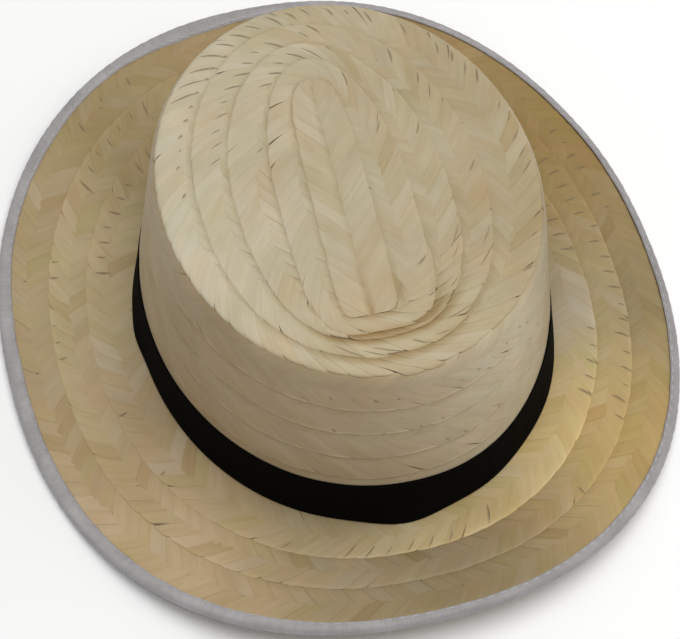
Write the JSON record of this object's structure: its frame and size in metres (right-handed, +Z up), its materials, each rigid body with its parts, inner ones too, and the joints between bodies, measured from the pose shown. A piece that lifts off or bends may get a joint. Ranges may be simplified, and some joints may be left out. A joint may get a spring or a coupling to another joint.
{
  "type": "straw boater hat",
  "caption": "Straw boater with a flat oval crown sewn from rounds of plaited leaf, a wide gently curved brim with a bound edge, and a plain black ribbon band.",
  "frame": {"origin": "middle of the brim's outline, on the surface that the hat stands on", "axes": "+X across the hat, +Y from front to back, +Z up through the crown"},
  "size_m": [0.275, 0.3104, 0.0919],
  "materials": {
    "crown_straw": "pale plaited palm leaf, dry and slightly glossy on the flat of each blade",
    "brim_straw": "tan plaited palm leaf with some green and golden blades",
    "black_ribbon": "matte black woven ribbon",
    "edge_binding": "pale grey satin-like folded strip with small stitches"
  },
  "bodies": {
    "root": {"crown": "crown_straw", "brim": "brim_straw", "hat_band": "black_ribbon", "brim_binding": "edge_binding"}
  },
  "joints": []
}
